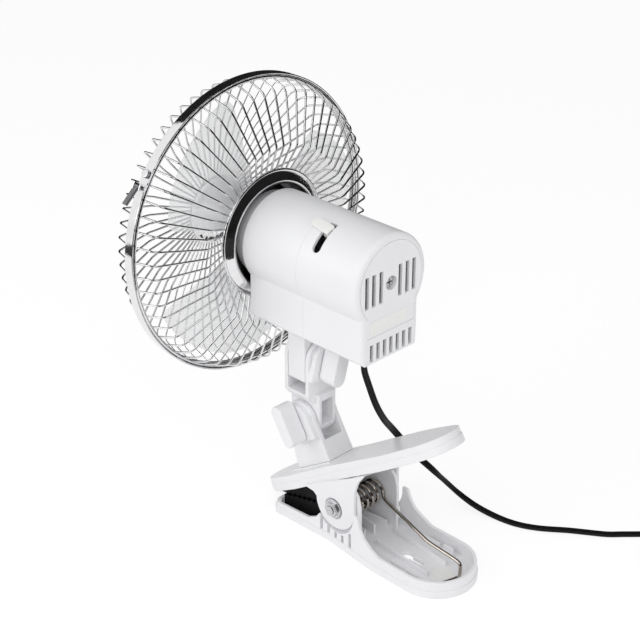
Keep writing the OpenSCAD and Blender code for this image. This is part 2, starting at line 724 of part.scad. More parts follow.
module rear_housing() {
  back_x = [17.7, 12.6, 7.2];
  color([0.95, 0.95, 0.95]) head() difference() {
    union() {
      difference() {
        slab_y(house_seam, house_back) house_outline(0);
        slab_y(house_seam - 1, house_back - house_wall) house_outline(house_wall);
      }
      rod_y(frame_back + 8, house_back - eps, 4.6);
    }
    for (x = back_x) for (s = [-1, 1])
      translate([s * x + 0.4 - upper_vent / 2, house_back - house_wall - 1, -9.5])
        cube([upper_vent, far, 18.1]);
    for (k = [-3:3]) translate([4.93 * k - 0.8 - lower_vent / 2, house_back - house_wall - 1, -41.2])
      cube([lower_vent, far, 9.8]);
    slab_y(house_back - groove, far) {
      intersection() {
        difference() {
          circle(r = groove_r + groove);
          circle(r = groove_r);
        }
        translate([-far, -15.5]) square([2 * far, far]);
      }
      translate([-18.4, -27.2]) square([36.2, groove]);
      translate([-18.4, -27.2]) square([0.8, 9.8]);
    }
    rod_y(frame_back, far, 1.7);
    rod_y(house_back - 3.4, far, 3.9);
    intersection() {
      sector_y(0, far, slot_y0, slot_y1, slot_low + slot_round, slot_high);
      rod_y(house_seam, house_back, far);
    }
    rotate([0, -slot_low - slot_round, 0]) translate([0, (slot_y0 + slot_y1) / 2, 0]) rotate([0, 90, 0])
      cylinder(d = slot_y1 - slot_y0, h = far);
    translate([relief_x, relief_y - roll_y, -box_drop - 1]) cylinder(r = 2.6, h = house_wall + 2);
  }
}

module housing_screw() {
  color([0.6, 0.6, 0.62]) head() {
    rod_y(frame_back + 1, house_back - 3.4 + eps, 1.4);
    difference() {
      rod_y(house_back - 3.4, house_back - 1.6, 2.9);
      for (a = [0, 90]) rotate([0, a, 0]) translate([-2, house_back - 2.4, -0.35]) cube([4, 2, 0.7]);
    }
  }
}

module label_plate() {
  color([0.86, 0.86, 0.87]) head() translate([-11.9, house_back, -25.8]) cube([27.8, 0.25, 7.8]);
}

// Head: motor, gears and switch

module motor_can() {
  color([0.62, 0.63, 0.65]) head() difference() {
    rod_y(-can_forward, can_back, can_r);
    rod_y(-can_forward + 1, can_back - 1, can_r - 1.2);
    rod_y(-far, far, shaft_d / 2 + 2);
  }
}

module motor_bushes() {
  color([0.72, 0.6, 0.35]) head() for (y = [-can_forward - 1.2, can_back - 3]) difference() {
    rod_y(y, y + 4.2, shaft_d / 2 + 2);
    rod_y(y - 1, y + 9, shaft_d / 2 + fit);
  }
}

module gearbox_frame() {
  x0 = -7;
  x1 = wheel_x + 6;
  color([0.3, 0.31, 0.33]) head() difference() {
    union() {
      for (s = [frame_z, -frame_z - frame_t]) translate([x0, can_back, s])
        cube([x1 - x0, frame_back - can_back, frame_t]);
      translate([x0, frame_back - frame_t, -frame_z - frame_t])
        cube([x1 - x0, frame_t, 2 * (frame_z + frame_t)]);
      rod_y(frame_back - eps, frame_back + 8, 4);
    }
    translate([wheel_x, wheel_y, -far / 2]) cylinder(r = pin_r + fit, h = far);
    rod_y(frame_back - 9, frame_back, shaft_d / 2 + fit);
    rod_y(frame_back, far, 1.45);
  }
}

// Switch under the lever, on a stem that stands on the gear frame
module switch_body() {
  depth = 6.4;
  color([0.12, 0.12, 0.13]) head() translate([0, slot_y0 - 1, 0]) {
    rotate([0, -50, 0]) translate([14.6, 0, -5]) cube([4.2, depth, 10]);
    translate([6.6, 0, frame_z + frame_t]) cube([5, depth, 7]);
  }
}

module sector_y(r0, r1, y0, y1, a0, a1) {
  rotate([-90, 0, 0]) translate([0, 0, y0]) rotate([0, 0, -a1])
    rotate_extrude(angle = a1 - a0) translate([r0, 0]) square([r1 - r0, y1 - y0]);
}

module switch_lever() {
  r0 = house_r + 0.3;
  r1 = house_r + 1.7;
  tip = lever_y0 + lever_half;
  color([0.93, 0.92, 0.89]) head() {
    sector_y(house_r - house_wall - 3, house_r - house_wall - 0.4, slot_y0, slot_y1, lever_at - 6, lever_at + 6);
    sector_y(house_r - house_wall - 0.5, r0 + 0.1, slot_y0 + gap, slot_y1 - gap, lever_at + 0.6, lever_at + 5);
    intersection() {
      sector_y(r0, r1, lever_y0 - 1, slot_y1 - gap, lever_at - 15, lever_at + 15);
      rotate([0, -lever_at, 0]) translate([0, slot_y1 - 3, 0]) rotate([-lever_lean, 0, 0]) {
        translate([0, tip + 3 - slot_y1, 0]) rotate([0, 90, 0]) cylinder(r = lever_half, h = far);
        translate([0, tip + 3 - slot_y1, -lever_half]) cube([far, slot_y1 - tip + 2, 2 * lever_half]);
      }
    }
  }
}

module motor_shaft() {
  color([0.75, 0.76, 0.78]) head() rod_y(blade_y - 8, frame_back - eps * 5, shaft_d / 2);
}

module armature() {
  y0 = -can_forward + 5;
  y1 = can_back - 5;
  color([0.72, 0.4, 0.2]) head() difference() {
    union() {
      rod_y(y0, y1 - 6, can_r - 3);
      rod_y(y1 - 6 - eps, y1, shaft_d / 2 + 2.2);
    }
    rod_y(-far, far, shaft_d / 2);
    for (a = [0:120:240]) rotate([0, a, 0]) translate([-0.8, y0 - 1, 5]) cube([1.6, y1 - y0 - 4, 20]);
  }
}

module worm() {
  y0 = wheel_y - 5;
  color([0.9, 0.88, 0.8]) head() difference() {
    union() {
      rod_y(y0, y0 + 10, 2.5);
      for (k = [0:4]) rod_y(y0 + 0.6 + 2 * k, y0 + 1.4 + 2 * k, 3.1);
    }
    rod_y(-far, far, shaft_d / 2);
  }
}

// Swing gear: one gap between two teeth, cut all round
module worm_wheel() {
  color([0.9, 0.88, 0.8]) head() translate([wheel_x, wheel_y, 0]) difference() {
    union() {
      translate([0, 0, -2]) cylinder(r = wheel_r, h = 4);
      translate([0, 0, crank_z - 1]) cylinder(r = pin_r, h = -crank_z + 1 + frame_z + frame_t);
    }
    for (k = [0:wheel_teeth - 1]) rotate(360 * (k + 0.5) / wheel_teeth)
      translate([wheel_r - 1.2, -0.45, -3]) cube([2, 0.9, 6]);
  }
}

module crank_disc() {
  color([0.9, 0.88, 0.8]) head() translate([wheel_x, wheel_y, crank_z - 2]) difference() {
    union() {
      cylinder(r = crank_throw + 2.2, h = 2.4);
      translate([0, -crank_throw, rod_z - crank_z]) cylinder(r = pin_r, h = crank_z - rod_z + eps);
    }
    translate([0, 0, 1]) cylinder(r = pin_r, h = 5);
  }
}

// Rod from the crank pin to a place above the pin of the neck arm
module link_rod() {
  a = [wheel_x, wheel_y - crank_throw];
  b = [10, 0];
  run = norm(b - a);
  color([0.8, 0.8, 0.82]) head() translate([a[0], a[1], rod_z]) rotate(atan2(b[1] - a[1], b[0] - a[0]))
    difference() {
      union() {
        cylinder(r = 2.6, h = rod_t);
        translate([0, -1.4, 0]) cube([run, 2.8, rod_t]);
        translate([run, 0, 0]) cylinder(r = 2.6, h = rod_t);
      }
      translate([0, 0, -1]) cylinder(r = pin_r + fit, h = 9);
      translate([run, 0, -1]) cylinder(r = pin_r + fit, h = 9);
    }
}

// Dish, guards and rim

module dish_screw_places() {
  for (a = [90, 210, 330]) rotate([0, a, 0]) translate([nose_r - 2.5, 0, 0]) children();
}

module dish_collar() {
  t = 1.1;
  lip = house_r + 1.5;
  color([0.8, 0.8, 0.82]) head() difference() {
    revolve_y() {
      translate([5.5, dish_plate_y - t]) square([lip + t - 5.5, t]);
      translate([lip, dish_plate_y - t]) square([t, bead_y - dish_plate_y + t]);
      translate([house_r + 3.7, bead_y]) {
        circle(r = bead_r);
        rotate(-dish_slope) translate([0, bead_r - t]) square([5.7, t]);
      }
      translate([dish_r - 0.9, dish_y]) circle(r = 0.9, $fn = 32);
    }
    dish_screw_places() rod_y(-far, far, 1.6);
  }
}

module dish_screws() {
  color([0.7, 0.7, 0.72]) head() dish_screw_places() {
    rod_y(dish_plate_y - 1.1 - 1.8, dish_plate_y - 1.1, 2.4);
    rod_y(dish_plate_y - 1.1 - eps, dish_plate_y + 7, 1.2);
  }
}

// A wire of a guard: its outline in radius and depth, turned to angle a
module guard_wire_at(profile, a) {
  p = [for (q = profile) [q[0] * cos(a), q[1], q[0] * sin(a)]];
  refs = [for (q = profile) [-sin(a), 0, cos(a)]];
  tube(p, refs, guard_wire / 2, guard_wire / 2, 6);
}

rear_top = dish_y + rear_bulge;
REAR_WIRE = [[dish_r + 0.15, dish_y], [bend_r - 2.5, rear_top - 0.75], [bend_r + 2.5, rear_top - 0.75],
  [shoulder_r - 2.4, dish_y - 3.9], [shoulder_r + 1.2, dish_y - 7],
  [ring_r - 0.5, rear_ring_y + ring_wire / 2 + guard_wire / 2 + 0.1]];
FRONT_WIRE = [[ring_r - 0.5, front_ring_y - ring_wire / 2 - guard_wire / 2 - 0.1],
  [shoulder_r + 1, band_front - 11.6], [shoulder_r - 2.2, band_front - 14.8],
  [bend_r + 2.5, cap_y + 2.8], [bend_r - 2.5, cap_y + 1.8], [cap_r + 0.25, cap_y]];

module rear_guard() {
  color([0.82, 0.82, 0.84]) head() for (k = [0:wire_count - 1])
    guard_wire_at(REAR_WIRE, 2.72 + 360 * k / wire_count);
}

module front_guard() {
  color([0.82, 0.82, 0.84]) head() for (k = [0:wire_count - 1])
    guard_wire_at(FRONT_WIRE, 2 + 360 * k / wire_count);
}

module ring_at(y) {
  revolve_y() translate([ring_r, y]) circle(d = ring_wire, $fn = 32);
}
module rear_ring() { color([0.6, 0.6, 0.62]) head() ring_at(rear_ring_y); }
module front_ring() { color([0.6, 0.6, 0.62]) head() ring_at(front_ring_y); }

latch_a = 30;
latch_lift = 18;
module at_rim(a) { rotate([0, -a, 0]) translate([rim_r, (band_back + band_front) / 2, 0]) children(); }

module rim_band() {
  color([0.82, 0.82, 0.84]) head() difference() {
    union() {
      revolve_y() translate([band_in, band_front]) square([band_t, band_w]);
      at_rim(latch_a) for (s = [-1, 1]) translate([-eps, s * (band_w / 2 - 0.5) - 0.5, -2]) cube([4, 1, 4]);
    }
    at_rim(latch_a) translate([2.2, 0, 0]) rod_y(-far, far, 0.8 + fit);
    at_rim(latch_a + 5) rotate([0, 90, 0]) cylinder(r = 1.3, h = far, center = true);
  }
}

module band_screw() {
  color([0.75, 0.75, 0.77]) head() at_rim(latch_a + 5) rotate([0, 90, 0]) {
    cylinder(r = 2.3, h = 1.7);
    translate([0, 0, -band_t]) cylinder(r = 1.2, h = band_t + eps);
  }
}

module guard_latch() {
  color([0.8, 0.8, 0.82]) head() at_rim(latch_a) {
    translate([2.2, 0, 0]) rod_y(-band_w / 2 - 0.6, band_w / 2 + 0.6, 0.8);
    translate([2.2, 0, 0]) difference() {
      rod_y(-band_w / 2 + 1.2, band_w / 2 - 1.2, 1.6);
      rod_y(-far, far, 0.5);
    }
    translate([2.2, 0, 0]) rotate([0, -latch_lift, 0]) translate([0.4, -band_w / 2 + 1.4, -12])
      cube([1.3, band_w - 2.8, 11]);
  }
}

module front_cap() {
  color([0.85, 0.85, 0.87]) head() difference() {
    revolve_y() polygon([[0, cap_y - 1.6], [cap_r - 4, cap_y - 1.1], [cap_r, cap_y - 0.3], [cap_r, cap_y + 0.7],
      [cap_r - 1, cap_y + 0.7], [cap_r - 4.4, cap_y - 0.1], [0, cap_y - 0.6]]);
  }
}

// One blade: a piece of a curved sheet, cut to the outline of a petal
module blade() {
  intersection() {
    translate([hub_r - 2, blade_rise, 0]) rotate([0, 90, 0]) rotate([0, 0, blade_pitch])
      translate([0, -sheet_r, 0]) difference() {
        cylinder(r = sheet_r + blade_t / 2, h = blade_r, $fn = 200);
        translate([0, 0, -1]) cylinder(r = sheet_r - blade_t / 2, h = blade_r + 2, $fn = 200);
      }
    slab_y(-17, 17) difference() {
      offset(r = petal_round, $fn = 60) offset(delta = -petal_round) intersection() {
        circle(r = blade_r);
        translate(petal_mid) circle(r = petal_r);
        polygon([[0, 0], [far * cos(blade_low), -far * sin(blade_low)], [far, 0],
          [far * cos(blade_high), far * sin(blade_high)]]);
      }
      circle(r = hub_r - 1.5);
    }
  }
}

module blades() {
  color([0.9, 0.93, 0.95, 0.7]) head() translate([0, blade_y, 0]) difference() {
    union() {
      difference() {
        rod_y(-7, 9, hub_r);
        rod_y(-5, 10, hub_r - 1.6);
      }
      rod_y(-7, 8, 4);
      for (k = [0:2]) rotate([0, -blade_at - 120 * k, 0]) blade();
    }
    rod_y(-5, 20, shaft_d / 2);
    rod_y(-far, -4, 1.1);
  }
}

module blade_nut() {
  color([0.9, 0.9, 0.92]) head() translate([0, blade_y, 0]) difference() {
    revolve_y() polygon([[0, -11], [3, -10.4], [4.6, -9], [5, -7], [0, -7]]);
    rod_y(-8, -6, shaft_d / 2);
  }
}

// Cord and plug

module strain_relief() {
  r = 3.3;
  color([0.08, 0.08, 0.08]) translate([relief_x, relief_y, relief_z]) difference() {
    union() {
      rotate_extrude() polygon([[0, 0], [2.7, 0], [r, relief_len - 0.1], [0, relief_len - 0.1]]);
      translate([0, 0, relief_len - 0.2]) cylinder(r = 2.5, h = house_wall + 0.4);
      translate([0, 0, relief_len + house_wall + 0.1]) cylinder(r = 3.4, h = 1.4);
    }
  }
}

CORD_PATH = spline(CORD_ROUTE, cord_rings);
function lift(z) = min(max(z / 60, 0), 1);
module cord() {
  refs = [for (p = CORD_PATH) [0.35 * lift(p[2] - 4), 0.2 * lift(p[2] - 4), 1]];
  color([0.05, 0.05, 0.05]) tube(CORD_PATH, refs, cord_w / 2, cord_t / 2, 8);
}

// The put-away coil: a spiral in, a climb of one layer, a spiral out, and
// a straight lead to the plug
coil_start = last(CORD_ROUTE);
coil_turn = 225;
COIL_AT = [coil_start[0] - coil_out * cos(coil_turn), coil_start[1] - coil_out * sin(coil_turn)];
lead_dir = [sin(coil_turn), -cos(coil_turn)];
function coil_at(s) =
  let (n = coil_turns, turn = s * 2 * n, r = coil_out - coil_pitch * (turn < n ? turn : 2 * n - turn),
    rise = min(max(turn - n + 0.25, 0) * 2, 1), a = coil_turn - 360 * turn)
  [COIL_AT[0] + r * cos(a), COIL_AT[1] + r * sin(a), coil_z + coil_layer * rise];
function lead_at(d, z) = [coil_start[0] + lead_dir[0] * d, coil_start[1] + lead_dir[1] * d, z];
COIL = concat([for (k = [0:48 * coil_turns]) coil_at(k / (48 * coil_turns))],
  [lead_at(8, 5.1), lead_at(14, 6.6), lead_at(20, 8.6), lead_at(26, 10), lead_at(32, plug_d / 2),
    lead_at(37, plug_d / 2), lead_at(42, plug_d / 2)]);
module cord_coil() {
  color([0.05, 0.05, 0.05]) tube(COIL, [for (p = COIL) [0, 0, 1]], cord_w / 2, cord_t / 2, 6);
}

module cord_tie() {
  h = cord_t + coil_layer + 2 * tie_t + 0.4;
  r0 = coil_out - coil_pitch * coil_turns - cord_w / 2 - 0.6;
  r1 = coil_out + cord_w / 2 + 0.6;
  color([0.15, 0.15, 0.15]) translate([COIL_AT[0], COIL_AT[1], 0]) rotate(15) difference() {
    translate([r0 - tie_t, -2, 0]) cube([r1 - r0 + 2 * tie_t, 4, h]);
    translate([r0, -3, tie_t]) cube([r1 - r0, 6, h - 2 * tie_t]);
  }
}

module at_plug() {
  translate([coil_start[0] + lead_dir[0] * 35, coil_start[1] + lead_dir[1] * 35, plug_d / 2])
    rotate(coil_turn - 180) children();
}

module plug_body() {
  color([0.08, 0.08, 0.085]) at_plug() difference() {
    revolve_y() polygon([[0, 0], [4.2, 0], [4.6, 6], [7.6, 9], [plug_d / 2, 12], [plug_d / 2, plug_len - 14],
      [plug_d / 2 - 1.6, plug_len - 12], [plug_d / 2 - 2.2, plug_len], [0, plug_len]]);
    rod_y(plug_len - 8, plug_len + 1, 3.2);
    translate([0, 3.5, 0]) cube([cord_w + 0.2, 8, cord_t + 0.2], center = true);
    for (s = [-1, 1]) translate([s > 0 ? plug_d / 2 - 3 : -plug_d / 2 - 1, plug_len - 34, -2.2])
      cube([4, 16, 4.4]);
  }
}

module plug_tip() {
  color([0.8, 0.8, 0.82]) at_plug() {
    rod_y(plug_len - 5.5, plug_len + 2.5, 2.9);
    translate([0, plug_len + 2.5 - eps, 0]) revolve_y() polygon([[0, 0], [2.9, 0], [1.6, 2.4], [0, 2.8]]);
  }
}

module plug_contacts() {
  color([0.8, 0.8, 0.82]) at_plug() for (s = [0, 180]) rotate([0, s, 0])
    translate([plug_d / 2 - 2.9, plug_len - 33, -1.8]) cube([3.1, 14, 3.6]);
}

echo(cord_length_mm = path_length(CORD_PATH) + path_length(COIL));
echo(spring_gap_mm = spring_len / (coil_sweep / 360) - spring_wire);
echo(coil_gap_mm = min(coil_pitch - cord_w, coil_layer - cord_t));

lower_jaw();
lower_pad();
clamp_bolt();
flange_nut();
jaw_spring();
round_sticker();
upper_jaw();
upper_pad();
elbow_base();
base_screws();
tilt_bolt();
tilt_knob();
middle_link();
roll_bolt();
roll_knob();
neck_post();
neck_arm();
neck_screw();
front_housing();
rear_housing();
housing_screw();
label_plate();
motor_can();
motor_bushes();
gearbox_frame();
switch_body();
switch_lever();
dish_collar();
dish_screws();
rear_guard();
rear_ring();
rim_band();
band_screw();
guard_latch();
front_guard();
front_ring();
front_cap();
motor_shaft();
armature();
worm();
blades();
blade_nut();
worm_wheel();
crank_disc();
link_rod();
strain_relief();
cord();
cord_coil();
cord_tie();
plug_body();
plug_tip();
plug_contacts();
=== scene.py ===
import json
import math

import bmesh
import bpy
from mathutils import Matrix, Vector
from mathutils.bvhtree import BVHTree
from mathutils.kdtree import KDTree


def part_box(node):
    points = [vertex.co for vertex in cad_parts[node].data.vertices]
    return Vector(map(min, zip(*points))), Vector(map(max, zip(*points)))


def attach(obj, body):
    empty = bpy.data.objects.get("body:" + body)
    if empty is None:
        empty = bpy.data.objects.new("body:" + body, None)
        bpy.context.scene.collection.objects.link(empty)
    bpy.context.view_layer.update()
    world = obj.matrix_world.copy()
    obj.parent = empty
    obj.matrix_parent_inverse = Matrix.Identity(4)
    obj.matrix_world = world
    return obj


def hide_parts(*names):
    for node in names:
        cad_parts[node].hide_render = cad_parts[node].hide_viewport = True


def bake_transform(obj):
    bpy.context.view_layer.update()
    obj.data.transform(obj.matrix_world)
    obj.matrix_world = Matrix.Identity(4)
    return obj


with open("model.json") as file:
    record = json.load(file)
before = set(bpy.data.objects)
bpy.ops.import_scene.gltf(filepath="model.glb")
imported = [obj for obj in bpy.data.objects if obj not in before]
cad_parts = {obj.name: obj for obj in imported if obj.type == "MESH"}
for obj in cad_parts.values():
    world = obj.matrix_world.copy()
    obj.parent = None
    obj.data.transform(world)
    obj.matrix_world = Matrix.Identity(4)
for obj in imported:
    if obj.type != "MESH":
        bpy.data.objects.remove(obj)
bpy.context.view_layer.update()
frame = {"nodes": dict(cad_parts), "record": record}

# Camera
# The fan is seen from behind, from its left and from above, on a long lens.
camera_data = bpy.data.cameras.new("camera")
camera_data.lens = 87.75
camera_data.sensor_width = 36
camera = bpy.data.objects.new("camera", camera_data)
bpy.context.collection.objects.link(camera)
camera_right = Vector((-0.7083, 0.7059, 0))
camera_up = Vector((-0.3223, -0.3234, 0.8897))
camera.matrix_world = Matrix.Translation((0.5367, 0.5049, 0.5137)) @ Matrix((
    camera_right, camera_up, camera_right.cross(camera_up))).transposed().to_4x4()
bpy.context.scene.camera = camera


# Flat cord
# A black twin cord of 4.4 by 2.2 mm, jacketed in soft vinyl with a groove
# between its two strands. It hangs from the housing and lies on the ground.
class Socket:
    """A shader socket, on which arithmetic adds Math nodes."""

    def __init__(self, tree, socket):
        self.tree, self.socket = tree, socket

    def node(self, kind, settings=None, inputs=None, output=0):
        """Adds a node of this kind: its settings, then its sockets' values or links."""
        made = self.tree.nodes.new(kind)
        for name, value in (settings or {}).items():
            setattr(made, name, value)
        for name, value in (inputs or {}).items():
            if isinstance(value, Socket):
                self.tree.links.new(value.socket, made.inputs[name])
            else:
                made.inputs[name].default_value = value
        return Socket(self.tree, made.outputs[output])

    def math(self, operation, first, second=0.0):
        return self.node("ShaderNodeMath", {"operation": operation}, {0: first, 1: second})

    def __add__(self, other):
        return self.math("ADD", self, other)

    def __mul__(self, other):
        return self.math("MULTIPLY", self, other)

    __radd__, __rmul__ = __add__, __mul__


def tree_of(owner, kind, output):
    """An emptied node tree, its shader, and a place to start nodes from."""
    owner.use_nodes = True
    tree = owner.node_tree
    tree.nodes.clear()
    surface = tree.nodes.new(kind)
    ending = tree.nodes.new(output)
    tree.links.new(surface.outputs[0], ending.inputs[0])
    return tree, surface, Socket(tree, None)


def new_finish(name, colour, roughness, metallic=0.0):
    """A material, its Principled shader, and the piece's own coordinates."""
    material = bpy.data.materials.new(name)
    tree, surface, start = tree_of(material, "ShaderNodeBsdfPrincipled", "ShaderNodeOutputMaterial")
    surface.inputs["Base Color"].default_value = (*colour, 1)
    surface.inputs["Roughness"].default_value = roughness
    surface.inputs["Metallic"].default_value = metallic
    return material, surface, start.node("ShaderNodeTexCoord", output="Object")


def noise(place, scale, detail=2.0):
    """Noise from 0 to 1, with a scale per metre."""
    return place.node("ShaderNodeTexNoise", {}, {"Vector": place, "Scale": scale, "Detail": detail})


def mixed(factor, first, second):
    """A colour that goes from the first to the second as factor goes from 0 to 1."""
    return factor.node("ShaderNodeMix", {"data_type": "RGBA"},
                       {0: factor, 6: (*first, 1), 7: (*second, 1)}, 2)


def bumps(height, depth):
    """The normal of a surface with bumps of this height, up to depth in metres."""
    return height.node("ShaderNodeBump", {}, {"Height": height, "Distance": depth, "Strength": 1.0})


def feed(surface, **values):
    """Links values to sockets of the shader; an underscore stands for a space."""
    for name, value in values.items():
        value.tree.links.new(value.socket, surface.inputs[name.replace("_", " ")])


cord_jacket, surface, place = new_finish("cord vinyl", (0.006, 0.006, 0.007), 0.5)
surface.inputs["Specular IOR Level"].default_value = 0.22
rubbed = noise(place, 260, 4)
feed(surface, Base_Color=mixed(rubbed, (0.003, 0.003, 0.0035), (0.011, 0.011, 0.012)),
     Roughness=rubbed * 0.25 + 0.38, Normal=bumps(noise(place, 1400, 3), 0.00008))

cord_width, cord_thickness = 0.0044, 0.0022
cord_route = [
    (-0.0015, -0.0015, 0.1126), (-0.0015, -0.0015, 0.108), (-0.002, -0.0014, 0.103),
    (-0.004, -0.0003, 0.095), (-0.008, 0.0018, 0.0813), (-0.015, 0.0018, 0.069),
    (-0.025, 0, 0.057), (-0.034, 0.007, 0.042), (-0.043, 0.015, 0.029),
    (-0.052, 0.0175, 0.018), (-0.0585, 0.023, 0.009), (-0.0625, 0.033, 0.0032),
    (-0.065, 0.0468, 0.0011), (-0.0676, 0.0593, 0.0011), (-0.0734, 0.0705, 0.0011),
    (-0.083, 0.0829, 0.0011), (-0.0893, 0.092, 0.0011), (-0.0957, 0.1011, 0.0011),
    (-0.102, 0.1073, 0.0011), (-0.1095, 0.1146, 0.0011), (-0.118, 0.123, 0.0015),
    (-0.127, 0.132, 0.0018), (-0.136, 0.141, 0.0018)]
twin_outline = [
    (0.5, 0.1), (0.42, 0.34), (0.27, 0.48), (0.12, 0.4), (0, 0.3), (-0.12, 0.4),
    (-0.27, 0.48), (-0.42, 0.34), (-0.5, 0.1), (-0.5, -0.1), (-0.42, -0.34), (-0.27, -0.48),
    (-0.12, -0.4), (0, -0.3), (0.12, -0.4), (0.27, -0.48), (0.42, -0.34), (0.5, -0.1)]
cord_outline = [(cord_width * x, cord_thickness * y) for x, y in twin_outline]


def curve_through(route, steps):
    """Points of a smooth curve through a route, steps to a span."""
    points = []
    for i in range(len(route) - 1):
        a, b = Vector(route[max(i - 1, 0)]), Vector(route[i])
        c, d = Vector(route[i + 1]), Vector(route[min(i + 2, len(route) - 1)])
        for k in range(steps):
            t = k / steps
            points.append(0.5 * (2 * b + (c - a) * t + (2 * a - 5 * b + 4 * c - d) * t * t
                                 + (3 * b - a - 3 * c + d) * t ** 3))
    return points + [Vector(route[-1])]


def finished(name, bm, material, body=None, nodes=(), keen=35, clean=True):
    """Makes a bmesh a piece: outward faces, soft shading up to keen degrees,
    its material, the body that it rides on and the CAD nodes that it stands for."""
    if clean:
        bmesh.ops.recalc_face_normals(bm, faces=bm.faces)
    for face in bm.faces:
        face.smooth = True
    for edge in bm.edges:
        edge.smooth = len(edge.link_faces) == 2 and edge.calc_face_angle(0) < math.radians(keen)
    mesh = bpy.data.meshes.new(name)
    bm.to_mesh(mesh)
    bm.free()
    mesh.materials.append(material)
    piece = bpy.data.objects.new(name, mesh)
    bpy.context.collection.objects.link(piece)
    if body:
        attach(piece, body)
    if nodes:
        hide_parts(*nodes)
    return piece


def swept(points, side_at, outline):
    """A bmesh of an outline swept along points. Its first axis stays square to
    side_at, or turns as little as it can where there is none."""
    bm = bmesh.new()
    rings, side = [], Vector((1, 0, 0))
    for i, point in enumerate(points):
        ahead = (points[min(i + 1, len(points) - 1)] - points[max(i - 1, 0)]).normalized()
        side = (ahead.cross(side_at(point)) if side_at else side - ahead * side.dot(ahead)).normalized()
        turned = Matrix((side, ahead.cross(side), ahead)).transposed().to_4x4()
        turned.translation = point
        rings.append([bm.verts.new(turned @ Vector((x, y, 0))) for x, y in outline])
    edges = [[bm.edges.new((ring[k - 1], ring[k])) for k in range(len(outline))] for ring in rings]
    for lower, upper in zip(edges, edges[1:]):
        bmesh.ops.bridge_loops(bm, edges=lower + upper)
    for ring in (rings[0], rings[-1]):
        bm.faces.new(ring)
    return bm


lies_below, turns_over = 0.003, 0.05


def hanging_side(point):
    """The way the cord's flat side faces: up on the ground, to the rear above it."""
    lift = min(max((point.z - lies_below) / turns_over, 0), 1)
    return Vector((-0.1, 1, 0.25)) * lift + Vector((0, 0, 1 - lift))


def run_length(points):
    """The length of a run through points."""
    return sum((b - a).length for a, b in zip(points, points[1:]))


cord_points = curve_through(cord_route, 8)
for name, first, last, bodies in (
        ("cord_swing", 0, 32, ("fan_head", "neck")), ("cord_roll", 32, 49, ("neck", "link")),
        ("cord_tilt", 49, 62, ("link", "paddle")), ("cord_jaw", 62, 96, ("paddle", "foot")),
        ("cord_floor", 96, len(cord_points) - 1, None)):
    points = cord_points[first:last + 1]
    piece = finished(name, swept(points, hanging_side, cord_outline), cord_jacket,
                     keen=60)
    if bodies:
        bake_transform(piece)
    else:
        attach(piece, "foot")
        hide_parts("cord")
    run_length(points)

# Put-away coil
# The rest of the cord in two layers of four turns, which lie flat on the
# ground. Its last turn rises to the plug.
coil_start, coil_turn = cord_points[-1], math.radians(225)
coil_turns, coil_pitch, coil_layer = 4, 0.005, 0.0028
coil_low, coil_out, turn_steps, climb_turns = 0.0018, 0.0346, 48, 0.5
lead_rise = (
    (0.008, 0.0051), (0.014, 0.0066), (0.02, 0.0086), (0.026, 0.01), (0.032, 0.0105),
    (0.037, 0.0105), (0.042, 0.0105))
coil_middle = Vector((coil_start.x - coil_out * math.cos(coil_turn),
                      coil_start.y - coil_out * math.sin(coil_turn), 0))
lead_way = Vector((math.sin(coil_turn), -math.cos(coil_turn), 0))
coil_points = []
for k in range(2 * turn_steps * coil_turns + 1):
    turn = k / turn_steps
    inward = turn if turn < coil_turns else 2 * coil_turns - turn
    radius = coil_out - coil_pitch * inward
    angle = coil_turn - 2 * math.pi * turn
    rise = min(max(turn - coil_turns + climb_turns / 2, 0) / climb_turns, 1)
    coil_points.append(coil_middle + Vector((radius * math.cos(angle), radius * math.sin(angle),
                                             coil_low + coil_layer * rise)))
for away, height in lead_rise:
    coil_points.append(Vector((coil_start.x, coil_start.y, height)) + lead_way * away)
cord_coil = finished("coil", swept(coil_points, lambda point: Vector((0, 0, 1)), cord_outline),
                     cord_jacket, "foot", ["cord_coil"], keen=60)


# Tie of the coil and the twelve volt plug
# A moulded strap holds the turns. The plug is black nylon with a ribbed grip
# sleeve, a sprung nose and two side springs of nickelled steel.
merge_within, flat_within = 0.000002, math.radians(0.4)
least_area, off_surface, facing_away = 1e-12, 0.7, -0.05
tries, most_spots, clear_of = 5, 12, 1.8


def crowded_places(bm, before, radius):
    """Where rounding left the shape of before: middles of faces that are off it."""
    places = []
    for face in bm.faces:
        middle = face.calc_center_median()
        normal, _, away = before.find_nearest(middle)[1:]
        if face.calc_area() > least_area and (
                away > off_surface * radius or face.normal.dot(normal) < facing_away):
            places.append(middle)
    return places


